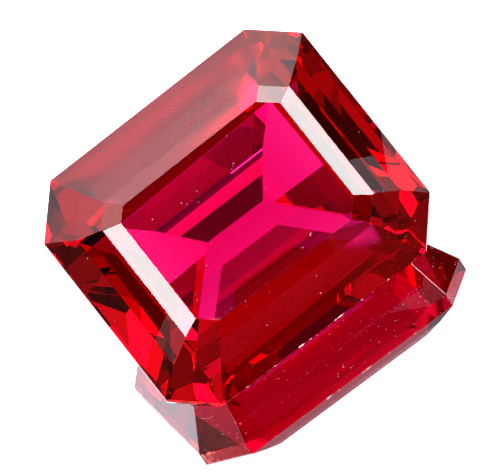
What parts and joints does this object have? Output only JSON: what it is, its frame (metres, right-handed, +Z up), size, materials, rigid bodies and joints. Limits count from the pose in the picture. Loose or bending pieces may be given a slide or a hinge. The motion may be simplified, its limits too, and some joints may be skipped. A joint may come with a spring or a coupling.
{
  "type": "step-cut ruby gemstone",
  "caption": "Loose octagonal step-cut ruby, one transparent red stone with a flat table over a deep stepped pavilion, lying on a pavilion facet.",
  "frame": {"origin": "on the ground the stone lies on, under the middle of its own box", "axes": "+X along the stone's length, -Y towards the low front side that the table is tipped to, +Z up"},
  "size_m": [0.01, 0.0078, 0.0059],
  "materials": {
    "ruby": "polished facets, transparent saturated red, refractive index 1.77"
  },
  "bodies": {
    "root": {"ruby": "ruby"}
  },
  "joints": []
}
